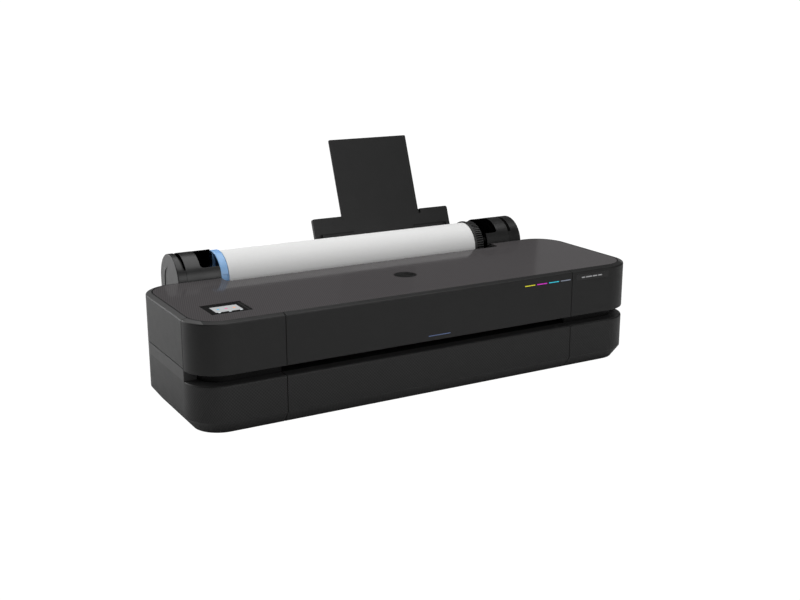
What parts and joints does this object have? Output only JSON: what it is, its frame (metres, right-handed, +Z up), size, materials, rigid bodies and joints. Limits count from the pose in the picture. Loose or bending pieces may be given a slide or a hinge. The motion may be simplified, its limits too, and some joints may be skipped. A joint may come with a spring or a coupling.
{
  "type": "large format plotter",
  "caption": "Desktop roll-fed inkjet plotter: a long low body, a display in its top, a paper roll in cradles behind and an extending sheet tray.",
  "frame": {"origin": "on the floor, on the middle foot, under the centre of the main body", "axes": "+Z up, the front faces -Y, +X along the roll to the right seen from the front"},
  "size_m": [1.009, 0.5444, 0.4516],
  "materials": {
    "shell_black": "fine-grained matte black moulded plastic",
    "cover_textured": "satin charcoal plastic with a fine dot texture",
    "gloss_black": "gloss black plastic",
    "screen": "lit pale screen behind glass",
    "paper": "smooth matte white paper",
    "card": "brown paperboard tube",
    "blue": "translucent blue moulded plastic",
    "steel": "zinc-plated sheet steel",
    "chrome": "ground steel shaft",
    "rubber": "black rubber",
    "grit": "dark grey grit-coated shaft",
    "white_gear": "off-white acetal",
    "grey_plastic": "dark grey moulded plastic",
    "pcb": "green circuit board",
    "ink_yellow": "yellow ink cartridge",
    "ink_magenta": "magenta ink cartridge",
    "ink_cyan": "cyan ink cartridge",
    "ink_black": "black ink cartridge",
    "clear_tube": "translucent polymer tube"
  },
  "bodies": {
    "chassis": {"base_pan": "steel", "rubber_feet": "rubber", "lower_left_cover": "shell_black", "lower_front_panel": "shell_black", "lower_right_cover": "shell_black", "slot_liners": "gloss_black", "upper_left_cover": "shell_black", "upper_right_cover": "shell_black", "left_side_panel": "shell_black", "right_side_panel": "shell_black", "rear_panel": "shell_black", "top_cover": "cover_textured", "rear_housing": "shell_black", "display_bezel": "gloss_black", "display_screen": "screen", "rear_sockets": "gloss_black", "roll_housing_left": "shell_black", "roll_housing_right": "shell_black", "roll_cap_left": "shell_black", "roll_cap_right": "shell_black", "tray_panel": "shell_black", "print_frame": "steel", "carriage_beam": "steel", "carriage_rod": "chrome", "carriage_belt": "rubber", "carriage_motor": "steel", "paper_guide": "grey_plastic", "feed_motor": "steel", "platen": "grey_plastic", "ink_bay": "grey_plastic", "service_station": "grey_plastic", "mainboard": "pcb", "power_supply": "steel", "ink_tubes": "clear_tube", "cover_screws": "steel"},
    "door": {"front_door": "shell_black"},
    "spindle_bearings": {"spindle_bearings": "grey_plastic"},
    "roll": {"spindle_shaft": "steel", "roll_core": "card", "paper_roll": "paper", "collar_left": "blue", "flange_right": "gloss_black"},
    "extension": {"tray_extension": "shell_black"},
    "guide_left": {"sheet_guide_left": "gloss_black"},
    "guide_right": {"sheet_guide_right": "gloss_black"},
    "carriage": {"carriage": "grey_plastic", "printhead": "gloss_black"},
    "drive_pulley": {"drive_pulley": "white_gear"},
    "idler_pulley": {"idler_pulley": "white_gear"},
    "feed_roller": {"feed_roller": "grit"},
    "idler_gear": {"idler_gear": "white_gear"},
    "exit_roller": {"exit_roller": "rubber"},
    "feed_pinion": {"feed_pinion": "white_gear"},
    "pinch_rollers": {"pinch_rollers": "rubber"},
    "cutter": {"cutter_carriage": "grey_plastic"},
    "power_button": {"power_button": "grey_plastic"},
    "cartridge_yellow": {"cartridge_yellow": "ink_yellow"},
    "cartridge_magenta": {"cartridge_magenta": "ink_magenta"},
    "cartridge_cyan": {"cartridge_cyan": "ink_cyan"},
    "cartridge_black": {"cartridge_black": "ink_black"}
  },
  "joints": [
    {"name": "door_hinge", "type": "hinge", "parent": "chassis", "child": "door", "pos_m": [0, -0.1574, 0.1204], "axis": [1, 0, 0], "range_deg": [0, 80]},
    {"name": "spindle_lift", "type": "slide", "parent": "chassis", "child": "spindle_bearings", "axis": [0, 0, 1], "range_m": [0, 0.13]},
    {"name": "roll_spin", "type": "hinge", "parent": "spindle_bearings", "child": "roll", "pos_m": [0, 0.2193, 0.205], "axis": [1, 0, 0], "continuous": true},
    {"name": "extension_slide", "type": "slide", "parent": "chassis", "child": "extension", "axis": [0, -0.3453, -0.9385], "range_m": [0, 0.128]},
    {"name": "guide_left_slide", "type": "slide", "parent": "chassis", "child": "guide_left", "axis": [1, 0, 0], "range_m": [0, 0.078]},
    {"name": "guide_right_slide", "type": "slide", "parent": "chassis", "child": "guide_right", "axis": [-1, 0, 0], "range_m": [0, 0.078]},
    {"name": "carriage_slide", "type": "slide", "parent": "chassis", "child": "carriage", "axis": [-1, 0, 0], "range_m": [0, 0.72]},
    {"name": "drive_pulley_spin", "type": "hinge", "parent": "chassis", "child": "drive_pulley", "pos_m": [0.44, 0.05, 0.15], "axis": [0, 1, 0], "range_deg": [-5170, 5170]},
    {"name": "idler_pulley_spin", "type": "hinge", "parent": "chassis", "child": "idler_pulley", "pos_m": [-0.44, 0.05, 0.15], "axis": [0, 1, 0], "range_deg": [-5170, 5170]},
    {"name": "feed_spin", "type": "hinge", "parent": "chassis", "child": "feed_roller", "pos_m": [0, 0.025, 0.097], "axis": [1, 0, 0], "continuous": true},
    {"name": "idler_spin", "type": "hinge", "parent": "chassis", "child": "idler_gear", "pos_m": [0, -0.0265, 0.097], "axis": [1, 0, 0], "continuous": true},
    {"name": "exit_spin", "type": "hinge", "parent": "chassis", "child": "exit_roller", "pos_m": [0, -0.072, 0.097], "axis": [1, 0, 0], "continuous": true},
    {"name": "pinion_spin", "type": "hinge", "parent": "chassis", "child": "feed_pinion", "pos_m": [0, 0.057, 0.097], "axis": [1, 0, 0], "continuous": true},
    {"name": "pinch_spin", "type": "hinge", "parent": "chassis", "child": "pinch_rollers", "pos_m": [0, 0.025, 0.1143], "axis": [1, 0, 0], "continuous": true},
    {"name": "cutter_slide", "type": "slide", "parent": "chassis", "child": "cutter", "axis": [1, 0, 0], "range_m": [0, 0.694]},
    {"name": "power_button_press", "type": "slide", "parent": "chassis", "child": "power_button", "axis": [0, -1, 0], "range_m": [0, 0.0015], "stiffness_N_per_m": 600},
    {"name": "cartridge_yellow_press", "type": "slide", "parent": "chassis", "child": "cartridge_yellow", "axis": [0, 1, 0], "range_m": [0, 0.003], "stiffness_N_per_m": 800},
    {"name": "cartridge_magenta_press", "type": "slide", "parent": "chassis", "child": "cartridge_magenta", "axis": [0, 1, 0], "range_m": [0, 0.003], "stiffness_N_per_m": 800},
    {"name": "cartridge_cyan_press", "type": "slide", "parent": "chassis", "child": "cartridge_cyan", "axis": [0, 1, 0], "range_m": [0, 0.003], "stiffness_N_per_m": 800},
    {"name": "cartridge_black_press", "type": "slide", "parent": "chassis", "child": "cartridge_black", "axis": [0, 1, 0], "range_m": [0, 0.003], "stiffness_N_per_m": 800}
  ],
  "couplings": [
    {"joint": "guide_right_slide", "follows": "guide_left_slide", "ratio": 1},
    {"joint": "drive_pulley_spin", "follows": "carriage_slide", "rad_per_m": -125},
    {"joint": "idler_pulley_spin", "follows": "carriage_slide", "rad_per_m": -125},
    {"joint": "idler_spin", "follows": "feed_spin", "ratio": -0.87273},
    {"joint": "exit_spin", "follows": "feed_spin", "ratio": 1.3333},
    {"joint": "pinion_spin", "follows": "feed_spin", "ratio": -3},
    {"joint": "pinch_spin", "follows": "feed_spin", "ratio": -2.4}
  ]
}
